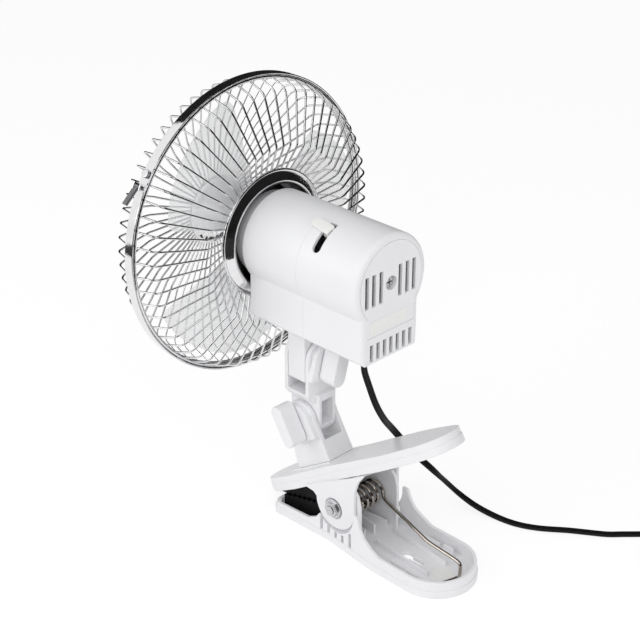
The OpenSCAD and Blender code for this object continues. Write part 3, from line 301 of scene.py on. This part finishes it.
def rounded_copy(node, radius, steps=2, keen=40, special=None, hollows=True):
    """A bmesh of a CAD node with its triangles merged into whole faces and its
    edges rounded where there is room, those in hollows too if it says so.
    special rounds some edges of its own before the rest."""
    bm = bmesh.new()
    bm.from_mesh(frame["nodes"][node].data)
    bmesh.ops.remove_doubles(bm, verts=bm.verts, dist=merge_within)
    bmesh.ops.dissolve_limit(bm, angle_limit=flat_within, verts=bm.verts, edges=bm.edges)
    if special:
        special(bm)
    before = BVHTree.FromBMesh(bm)
    bm.edges.index_update()
    sharp = {edge.index for edge in bm.edges
             if len(edge.link_faces) == 2 and edge.calc_face_angle(0) > math.radians(keen)
             and (hollows or edge.is_convex)}
    for attempt in range(tries):
        made = bm.copy()
        made.edges.ensure_lookup_table()
        if radius:
            bmesh.ops.bevel(made, geom=[made.edges[k] for k in sharp], offset=radius,
                            segments=steps, profile=0.5, affect="EDGES", material=-1,
                            clamp_overlap=False)
        bmesh.ops.triangulate(made, faces=[face for face in made.faces if len(face.verts) > 4])
        places = crowded_places(made, before, radius) if radius else []
        if not places or attempt == tries - 1:
            break
        made.free()
        tree = KDTree(len(places))
        for k, middle in enumerate(places):
            tree.insert(middle, k)
        tree.balance()
        bm.edges.ensure_lookup_table()
        for k in list(sharp):
            start, end = (vert.co for vert in bm.edges[k].verts)
            spots = max(1, min(most_spots, int((end - start).length / radius / 2)))
            if any(tree.find(start.lerp(end, i / spots))[2] < clear_of * radius
                   for i in range(spots + 1)):
                sharp.discard(k)
    bm.free()
    return made


def dressed(name, node, material, radius, steps=2, special=None, hollows=True):
    """The finished rounded copy of one CAD node, in that node's place."""
    body = [b for b, names in frame["record"]["behaviour"]["bodies"].items() if node in names][0]
    piece = finished(name, rounded_copy(node, radius, steps, 40, special, hollows), material,
                     body, [node], clean=False)
    flat = piece.modifiers.new("even faces", "WEIGHTED_NORMAL")
    flat.keep_sharp = True
    return piece


black_plastic, surface, place = new_finish("black nylon", (0.02, 0.02, 0.022), 0.4)
grain = noise(place, 900, 4)
feed(surface, Base_Color=mixed(noise(place, 60), (0.014, 0.014, 0.015), (0.03, 0.03, 0.032)),
     Roughness=grain * 0.2 + 0.32, Normal=bumps(grain, 0.00006))
contact_nickel, surface, place = new_finish("nickelled contacts", (0.66, 0.64, 0.6), 0.25, 1.0)
worn = noise(place, 500, 5)
feed(surface, Base_Color=mixed(worn, (0.56, 0.54, 0.5), (0.76, 0.74, 0.7)),
     Roughness=worn * 0.25 + 0.12, Normal=bumps(noise(place, 1800, 2), 0.00002))

dressed("coil_tie", "cord_tie", black_plastic, 0.00025)
plug_body = dressed("plug", "plug_body", black_plastic, 0.0004)
plug_tip = dressed("plug_nose", "plug_tip", contact_nickel, 0.0003)
plug_contacts = dressed("plug_springs", "plug_contacts", contact_nickel, 0.0003)
plug_radius, plug_away, grip_from, grip_ribs, rib_pitch = 0.0105, 0.035, 0.0135, 8, 0.0011
rib_profile = ((0.0004, 0), (0.0001, 0.0002), (0.0001, 0.0005), (0.0004, 0.0007))
plug_foot = Vector((coil_start.x, coil_start.y, plug_radius)) + lead_way * plug_away
at_plug = Matrix.Translation(plug_foot) @ Matrix.Rotation(coil_turn - math.pi, 4, "Z")
bm = bmesh.new()
for k in range(grip_ribs):
    low = grip_from + rib_pitch * k
    profile = [bm.verts.new((plug_radius - under, low + along, 0)) for under, along in rib_profile]
    edges = [bm.edges.new(pair) for pair in zip(profile, profile[1:] + profile[:1])]
    bmesh.ops.spin(bm, geom=profile + edges, cent=(0, 0, 0), axis=(0, 1, 0), dvec=(0, 0, 0),
                   angle=2 * math.pi, steps=40, use_merge=True, use_duplicate=False)
bmesh.ops.remove_doubles(bm, verts=bm.verts, dist=0.000001)
bmesh.ops.transform(bm, matrix=at_plug, verts=bm.verts)
plug_grip = finished("plug_grip", bm, black_plastic, "foot", keen=60)
run_length(coil_points)


# Studio
# A white floor and a white surround, which metal and clear plastic see too,
# and three soft lamps, the right one unseen by metal. The floor keeps the fan's
# shadow. Dark cloth around the white is seen by reflections alone.
world = bpy.data.worlds.new("surround")
bpy.context.scene.world = world
tree, background, start = tree_of(world, "ShaderNodeBackground", "ShaderNodeOutputWorld")


def sees_white(start):
    """1 for rays from the camera, and for reflected and transmitted rays."""
    kinds = [start.node("ShaderNodeLightPath", output=f"Is {kind} Ray")
             for kind in ("Camera", "Glossy", "Transmission")]
    return kinds[0].math("MAXIMUM", kinds[0].math("MAXIMUM", kinds[0], kinds[1]), kinds[2])


soft_light, floor_glow, glow_share = 0.6, 1.08, 0.75
tree.links.new((sees_white(start) * (1 - soft_light) + soft_light).socket,
               background.inputs["Strength"])
background.inputs["Color"].default_value = (1, 1, 1, 1)

bm = bmesh.new()
bmesh.ops.create_grid(bm, x_segments=1, y_segments=1, size=6)
floor_finish = bpy.data.materials.new("white floor")
tree, paint, start = tree_of(floor_finish, "ShaderNodeMixShader", "ShaderNodeOutputMaterial")
matt = start.node("ShaderNodeBsdfDiffuse", inputs={"Color": (0.93, 0.93, 0.93, 1)})
glow = start.node("ShaderNodeEmission", inputs={"Color": (1, 1, 1, 1), "Strength": floor_glow})
tree.links.new((sees_white(start) * glow_share).socket, paint.inputs[0])
tree.links.new(matt.socket, paint.inputs[1])
tree.links.new(glow.socket, paint.inputs[2])
floor = finished("floor", bm, floor_finish)

cloth_profile = ((0.3, 0, 0.002), (4, 0, 0.002), (4, 0, 10))
open_from, open_to, hole_within = -82, -30, 1
hole_stretch, hole_turn, hole_shift = (2.17, 0.85, 1), -math.pi / 4, (-0.04, -0.04, 0)
bm = bmesh.new()
tray = [bm.verts.new(corner) for corner in cloth_profile]
edges = [bm.edges.new(pair) for pair in zip(tray, tray[1:])]
bmesh.ops.spin(bm, geom=tray + edges, cent=(0, 0, 0), axis=(0, 0, 1), dvec=(0, 0, 0),
               angle=2 * math.pi, steps=48, use_merge=True, use_duplicate=False)
opening = [face for face in bm.faces
           if open_from < math.degrees(math.atan2(*face.calc_center_median().yx)) < open_to]
bmesh.ops.delete(bm, geom=opening, context="FACES")
hole = [vert for vert in bm.verts if vert.co.xy.length < hole_within]
bmesh.ops.scale(bm, vec=hole_stretch, verts=hole)
bmesh.ops.rotate(bm, cent=(0, 0, 0), matrix=Matrix.Rotation(hole_turn, 3, "Z"), verts=hole)
bmesh.ops.translate(bm, vec=hole_shift, verts=hole)
dark_cloth, surface, place = new_finish("dark cloth", (0.012, 0.012, 0.013), 0.9)
feed(surface, Base_Color=mixed(noise(place, 3), (0.008, 0.008, 0.009), (0.02, 0.02, 0.021)))
surround = finished("dark_surround", bm, dark_cloth)
surround.visible_camera = surround.visible_diffuse = surround.visible_shadow = False
surround.visible_transmission = False

lit_middle = Vector((0, -0.02, 0.1))
for name, place, size, power in (
        ("left lamp", (0.95, -0.45, 0.6), 0.8, 4.1), ("right lamp", (0.1, 1.1, 0.5), 0.7, 2.3),
        ("rear lamp", (0.75, 0.6, 0.85), 0.7, 2.6)):
    lamp_data = bpy.data.lights.new(name, "AREA")
    lamp_data.size, lamp_data.energy = size, power
    lamp = bpy.data.objects.new(name, lamp_data)
    bpy.context.collection.objects.link(lamp)
    lamp.visible_glossy = name != "right lamp"
    lamp.location = place
    lamp.rotation_euler = (lit_middle - Vector(place)).to_track_quat("-Z", "Y").to_euler()
bpy.context.scene.view_settings.view_transform = "Standard"

# Lower jaw
# The half of the clamp that lies on the ground: one moulding in white ABS,
# open at the rear, with ribs in its floor. Its surface is polished, with the
# faint waviness of moulded sheet and a little dust in the grain.
clamp_plastic, surface, place = new_finish("clamp ABS", (0.83, 0.83, 0.85), 0.3)
surface.inputs["Specular IOR Level"].default_value = 0.3
wavy, grain = noise(place, 35), noise(place, 1500, 3)
feed(surface, Base_Color=mixed(wavy, (0.80, 0.80, 0.82), (0.86, 0.86, 0.875)),
     Roughness=grain * 0.12 + 0.26, Normal=bumps(grain + wavy * 6, 0.00001))
dressed("jaw_lower", "lower_jaw", clamp_plastic, 0.00035, hollows=False)

# Blank round sticker
# A small disc of white paper film, left bare, stuck on the floor of the jaw.
label_film, surface, place = new_finish("label film", (0.82, 0.82, 0.8), 0.5)
feed(surface, Base_Color=mixed(noise(place, 300, 4), (0.83, 0.83, 0.815), (0.87, 0.87, 0.86)),
     Normal=bumps(noise(place, 2500, 4), 0.00002))
dressed("sticker", "round_sticker", label_film, 0)

# Grip pads
# Two ribbed pads of black rubber, pressed into the mouth of the clamp.
pad_rubber, surface, place = new_finish("pad rubber", (0.004, 0.004, 0.0045), 0.6)
surface.inputs["Specular IOR Level"].default_value = 0.15
grain = noise(place, 700, 5)
feed(surface, Base_Color=mixed(noise(place, 90), (0.002, 0.002, 0.0025), (0.007, 0.007, 0.008)),
     Roughness=grain * 0.3 + 0.45, Normal=bumps(grain, 0.0001))
for side in ("lower", "upper"):
    dressed("pad_" + side, side + "_pad", pad_rubber, 0.0003)

# Clamp bolt and flanged nut
# Zinc-plated steel. The bolt passes both cheeks and shows a short threaded
# end in the nut.
zinc_steel, surface, place = new_finish("zinc plate", (0.6, 0.6, 0.62), 0.3, 1.0)
spangle = noise(place, 420, 4)
feed(surface, Base_Color=mixed(spangle, (0.48, 0.48, 0.5), (0.7, 0.7, 0.71)),
     Roughness=spangle * 0.3 + 0.15, Normal=bumps(noise(place, 1600, 3), 0.00003))
for name, node, radius in (
        ("bolt", "clamp_bolt", 0.0003), ("nut", "flange_nut", 0.00025),
        ("fork_screws", "base_screws", 0.0002), ("bolt_tilt", "tilt_bolt", 0.0003),
        ("bolt_roll", "roll_bolt", 0.0003), ("arm_neck", "neck_arm", 0.0002),
        ("screw_neck", "neck_screw", 0.0002), ("screw_housing", "housing_screw", 0.0001),
        ("can_motor", "motor_can", 0.0004), ("screws_dish", "dish_screws", 0.0003),
        ("screw_band", "band_screw", 0.0003), ("shaft_motor", "motor_shaft", 0.0001),
        ("rod_swing", "link_rod", 0.0002)):
    dressed(name, node, zinc_steel, radius)

# Clamp spring
# A torsion spring of bare 2 mm wire, its coil around the bolt, one leg under
# the paddle and the other down in the floor of the lower jaw.
spring_steel, surface, place = new_finish("spring wire", (0.42, 0.37, 0.32), 0.2, 1.0)
stain = noise(place, 240, 5)
feed(surface, Base_Color=mixed(stain, (0.3, 0.26, 0.22), (0.72, 0.66, 0.6)),
     Roughness=stain * 0.15 + 0.06, Normal=bumps(noise(place, 1500, 2), 0.00004))
coil_y, coil_z, wire_radius, coil_radius, coil_length = -0.002, 0.022, 0.001, 0.0064, 0.0254
coil_steps, wire_sides = 160, 12
leg_angle, coil_sweep, leg_length = math.radians(85), math.radians(2150), 0.0319


def coil_place(share):
    """A point of the spring's coil, from its upper leg at 0 to its rear leg at 1."""
    angle = leg_angle - math.pi / 2 - share * coil_sweep
    return Vector((coil_length * (0.5 - share), coil_y + coil_radius * math.cos(angle),
                   coil_z + coil_radius * math.sin(angle)))


leg_way = Vector((0, math.cos(leg_angle), math.sin(leg_angle)))
coil_end = coil_place(1)
leg_bend, leg_back = Vector((-0.0055, 0.0446, 0.013)), Vector((-0.0035, 0.0689, 0.0126))
leg_out = coil_end + Vector((0.0004, 0.0028, -0.0039))
leg_route = [coil_end, coil_end + Vector((0, 0.0002, -0.0018)),
             coil_end + Vector((0.00015, 0.001, -0.0032)), leg_out, leg_out.lerp(leg_bend, 0.5),
             leg_out.lerp(leg_bend, 0.94), leg_bend.lerp(leg_back, 0.07),
             leg_bend.lerp(leg_back, 0.5), leg_bend.lerp(leg_back, 0.95)]
leg_route += [Vector(point) for point in (
    (-0.0032, 0.0703, 0.0114), (-0.0032, 0.0705, 0.0096), (-0.003, 0.0705, 0.0059),
    (-0.0024, 0.0703, 0.0042), (-0.001, 0.0699, 0.0037), (0.003, 0.0688, 0.0037),
    (0.006, 0.0679, 0.0037), (0.0075, 0.0675, 0.0037))]
spring_points = [coil_place(0) + leg_way * leg_length * share
                 for share in (1, 0.75, 0.5, 0.25, 0.04)]
spring_points += [coil_place(k / coil_steps) for k in range(coil_steps)]
spring_points += curve_through(leg_route, 4)
round_wire = [(wire_radius * math.cos(2 * math.pi * k / wire_sides),
               wire_radius * math.sin(2 * math.pi * k / wire_sides)) for k in range(wire_sides)]
spring = finished("spring", swept(spring_points, None, round_wire), spring_steel,
                  nodes=["jaw_spring"], keen=60)
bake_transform(spring)

# Upper jaw and elbow
# The paddle with its two cheeks, the fork screwed on its top, the link and
# the neck, all in the same ABS, with edges rounded in the mould.
for name, node, radius in (
        ("jaw_upper", "upper_jaw", 0.0004), ("fork_base", "elbow_base", 0.0005),
        ("link", "middle_link", 0.0005), ("neck", "neck_post", 0.0005)):
    dressed(name, node, clamp_plastic, radius)

# Clamping knobs
# Two round-ended bars on the bolts of the elbow, in the same ABS.
for name, node in (("knob_tilt", "tilt_knob"), ("knob_roll", "roll_knob")):
    dressed(name, node, clamp_plastic, 0.0009, 3)

# Motor housing
# Two shells of thin white ABS that meet on a seam, with slots for air in the
# rear face. The rear edge has a soft round of three millimetres.
housing_plastic, surface, place = new_finish("housing ABS", (0.83, 0.83, 0.85), 0.34)
surface.inputs["Specular IOR Level"].default_value = 0.3
wavy, grain = noise(place, 28), noise(place, 1700, 3)
feed(surface, Base_Color=mixed(wavy, (0.80, 0.80, 0.82), (0.86, 0.86, 0.875)),
     Roughness=grain * 0.12 + 0.3, Normal=bumps(grain + wavy * 5, 0.00001))
head = Vector((0, -0.040717, 0.164004))
house_radius, box_half, back_y = 0.027, 0.0217, 0.0593
arc_above, edge_within, face_within, rear_round = -0.016, 0.0004, 0.00005, 0.003


def soft_rear(bm):
    """Rounds the outer edge of the rear face, along its arc and its two sides."""
    def outer(vert):
        x, y, z = vert.co - head
        return abs(y - back_y) < face_within and (
            (z > arc_above and math.hypot(x, z) > house_radius - edge_within)
            or (z <= arc_above and abs(x) > box_half - edge_within))
    rim = [edge for edge in bm.edges if all(outer(vert) for vert in edge.verts)]
    bmesh.ops.bevel(bm, geom=rim, offset=rear_round, segments=6, profile=0.5, affect="EDGES",
                    material=-1, clamp_overlap=False)


dressed("shell_front", "front_housing", housing_plastic, 0.00025)
dressed("shell_rear", "rear_housing", housing_plastic, 0.00025,
        special=soft_rear)
dressed("label", "label_plate", label_film, 0.00005, 1)
dressed("nut_blades", "blade_nut", housing_plastic, 0.0004)

# Switch lever
# A small lever of ivory plastic on the upper side of the housing.
lever_plastic, surface, place = new_finish("lever plastic", (0.82, 0.815, 0.78), 0.3)
grain = noise(place, 1200, 3)
feed(surface, Base_Color=mixed(noise(place, 200), (0.84, 0.838, 0.82), (0.88, 0.878, 0.86)),
     Roughness=grain * 0.15 + 0.24, Normal=bumps(grain, 0.00002))
dressed("lever", "switch_lever", lever_plastic, 0.0003)

# Works inside the housing
# Bushes of bronze, a wound armature, a black gear frame with the switch, and
# gears of natural acetal.
bronze, surface, place = new_finish("sintered bronze", (0.55, 0.38, 0.16), 0.5, 1.0)
pores = noise(place, 2600, 4)
feed(surface, Base_Color=mixed(pores, (0.4, 0.27, 0.1), (0.6, 0.42, 0.19)),
     Normal=bumps(pores, 0.00006))
dressed("bushes", "motor_bushes", bronze, 0.0002)
winding_copper, surface, place = new_finish("enamelled copper", (0.5, 0.2, 0.08), 0.3, 1.0)
lay = place.node("ShaderNodeTexWave", {"bands_direction": "X"},
                 {"Vector": place, "Scale": 520.0, "Distortion": 1.5})
feed(surface, Base_Color=mixed(lay, (0.28, 0.09, 0.03), (0.62, 0.27, 0.12)), Normal=bumps(lay, 0.0001))
dressed("winding", "armature", winding_copper, 0.0003)
dressed("frame_gears", "gearbox_frame", black_plastic, 0.0002)
dressed("switch", "switch_body", black_plastic, 0.0002)
gear_plastic, surface, place = new_finish("acetal", (0.78, 0.74, 0.62), 0.35)
grain = noise(place, 900, 3)
feed(surface, Base_Color=mixed(grain, (0.72, 0.68, 0.56), (0.8, 0.77, 0.66)),
     Roughness=grain * 0.2 + 0.3, Normal=bumps(grain, 0.00004))
for name, node in (("worm_gear", "worm"), ("wheel_worm", "worm_wheel"), ("crank", "crank_disc")):
    dressed(name, node, gear_plastic, 0.00015, 1)


# Guard wires
# Each guard is 62 wires of chromed steel, bent twice, laid round the axis and
# spot welded to a ring wire at the rim and to the dish or the cap.
def chromed(name):
    """A chrome finish with a thin haze: its material, shader, coordinates, haze
    and bright colour, which isn't linked yet."""
    material, surface, place = new_finish(name, (0.8, 0.8, 0.81), 0.08, 1.0)
    haze = noise(place, 320, 5)
    feed(surface, Roughness=haze * 0.1 + 0.02, Normal=bumps(noise(place, 700, 2), 0.00002))
    return material, surface, place, haze, mixed(haze, (0.74, 0.74, 0.75), (0.86, 0.86, 0.865))


guard_chrome, surface, _, _, bright = chromed("guard chrome")
feed(surface, Base_Color=bright)
wire_count, guard_wire, wire_bends = 62, 0.000575, [0.005, 0.006]


def bent_wires(corners, bends, first_angle):
    """A bmesh of guard wires: one is drawn through corners (radius, depth), with
    a bend of its radius at each inner corner, and is then laid round the axis."""
    bm = bmesh.new()
    points = [Vector((radius, depth, 0)) for radius, depth in corners]
    ways = [(b - a).normalized() for a, b in zip(points, points[1:])]
    made = bmesh.ops.create_circle(bm, segments=6, radius=guard_wire, cap_ends=True)
    turned = Vector((0, 0, 1)).rotation_difference(ways[0]).to_matrix().to_4x4()
    bmesh.ops.transform(bm, matrix=Matrix.Translation(points[0]) @ turned, verts=made["verts"])
    end = list(bm.faces)
    at = points[0]
    for corner, bend, before, after in zip(points[1:], bends + [0], ways, ways[1:] + [None]):
        turn = before.angle(after) if after else 0
        stop = corner - before * bend * math.tan(turn / 2)
        grown = bmesh.ops.extrude_face_region(bm, geom=end)["geom"]
        end = [item for item in grown if isinstance(item, bmesh.types.BMFace)]
        moved = [item for item in grown if isinstance(item, bmesh.types.BMVert)]
        bmesh.ops.translate(bm, vec=stop - at, verts=moved)
        at = stop
        if turn:
            axis = before.cross(after).normalized()
            middle = stop + axis.cross(before) * bend
            spun = bmesh.ops.spin(bm, geom=end, cent=middle, axis=axis, dvec=(0, 0, 0), angle=turn,
                                  steps=4, use_merge=False, use_duplicate=False)["geom_last"]
            end = [item for item in spun if isinstance(item, bmesh.types.BMFace)]
            at = middle + Matrix.Rotation(turn, 3, axis) @ (stop - middle)
    bmesh.ops.rotate(bm, cent=(0, 0, 0), matrix=Matrix.Rotation(-first_angle, 3, "Y"), verts=bm.verts)
    bmesh.ops.spin(bm, geom=list(bm.verts) + list(bm.edges) + list(bm.faces), cent=(0, 0, 0),
                   axis=(0, 1, 0), dvec=(0, 0, 0), angle=2 * math.pi * (wire_count - 1) / wire_count,
                   steps=wire_count - 1, use_merge=False, use_duplicate=True)
    bmesh.ops.translate(bm, vec=head, verts=bm.verts)
    return bm


for name, corners, first_angle in (
        ("rear_guard", ((0.03715, -0.03), (0.0508, -0.0253), (0.0794, -0.0348),
                        (0.0832, -0.045225)), 2.72),
        ("front_guard", ((0.0832, -0.052275), (0.0793, -0.0658), (0.0507, -0.075),
                         (0.02025, -0.077)), 2.0)):
    finished("wires_" + name, bent_wires(corners, wire_bends, math.radians(first_angle)),
             guard_chrome, "fan_head", [name], keen=70)

# Dish
# Pressed and chromed sheet. Its recess around the housing, behind its front
# face, has painted shade: its chrome colour is painted dark there.
recess_radius, recess_edge = 0.0302, 0.0006
dish_chrome, surface, place, haze, bright = chromed("dish chrome")
across = place.node("ShaderNodeVectorMath", {"operation": "SUBTRACT"}, {0: place, 1: head})
across = across.node("ShaderNodeVectorMath", {"operation": "MULTIPLY"}, {0: across, 1: (1, 0, 1)})
radius = across.node("ShaderNodeVectorMath", {"operation": "LENGTH"}, {0: across}, "Value")
# Painted shade mask: 1 outside the recess and on the front face, 0 in the recess behind it.
clear_of_painted_shade = radius.node("ShaderNodeMapRange", {}, {
    0: radius, 1: recess_radius - recess_edge, 2: recess_radius + recess_edge})
depth = place.node("ShaderNodeSeparateXYZ", {}, {"Vector": place}, "Y")
plate_front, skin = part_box("dish_collar")[0][1], 0.0004
clear_of_painted_shade = clear_of_painted_shade.math("MAXIMUM", clear_of_painted_shade, depth.node("ShaderNodeMapRange", {}, {
    0: depth, 1: plate_front + skin, 2: plate_front + skin * 1.5, 3: 1, 4: 0}))
# The painted shade: a dark colour for the chrome in the recess.
dark = mixed(haze, (0.03, 0.03, 0.032), (0.07, 0.07, 0.072))
feed(surface, Base_Color=clear_of_painted_shade.node("ShaderNodeMix", {"data_type": "RGBA"},
                                     {0: clear_of_painted_shade, 6: dark, 7: bright}, 2))
dressed("dish", "dish_collar", dish_chrome, 0.0003)

# Rings, rim and cap
# Pressed and chromed sheet, and two rings of chromed wire inside the rim.
for name, node, radius in (
        ("ring_rear", "rear_ring", 0), ("ring_front", "front_ring", 0),
        ("rim", "rim_band", 0.0003), ("cap", "front_cap", 0.0003)):
    dressed(name, node, guard_chrome, radius)

# Latch
# A folded strip of steel on the rim, darker than the chrome around it.
latch_steel, surface, place = new_finish("latch steel", (0.2, 0.2, 0.21), 0.25, 1.0)
# Noise that varies the latch's dark colour and its roughness at random.
latch_mottle = noise(place, 380, 4)
feed(surface, Base_Color=mixed(latch_mottle, (0.1, 0.1, 0.105), (0.3, 0.3, 0.31)),
     Roughness=latch_mottle * 0.25 + 0.15, Normal=bumps(noise(place, 900, 3), 0.00003))
dressed("latch", "guard_latch", latch_steel, 0.0002)

# Blades
# Three broad blades moulded with their hub in translucent white plastic.
blade_plastic, surface, place = new_finish("blade plastic", (0.88, 0.89, 0.9), 0.25)
surface.inputs["IOR"].default_value = 1.46
cloudy = noise(place, 45, 3)
feed(surface, Base_Color=mixed(cloudy, (0.84, 0.85, 0.86), (0.93, 0.935, 0.94)),
     Roughness=cloudy * 0.2 + 0.15, Alpha=cloudy * 0.2 + 0.26, Normal=bumps(cloudy, 0.0001))
dressed("wheel_blades", "blades", blade_plastic, 0.0003)

# Strain relief
# A tapered sleeve of the cord's vinyl, moulded on the cord where it leaves.
dressed("sleeve", "strain_relief", cord_jacket, 0.0003)
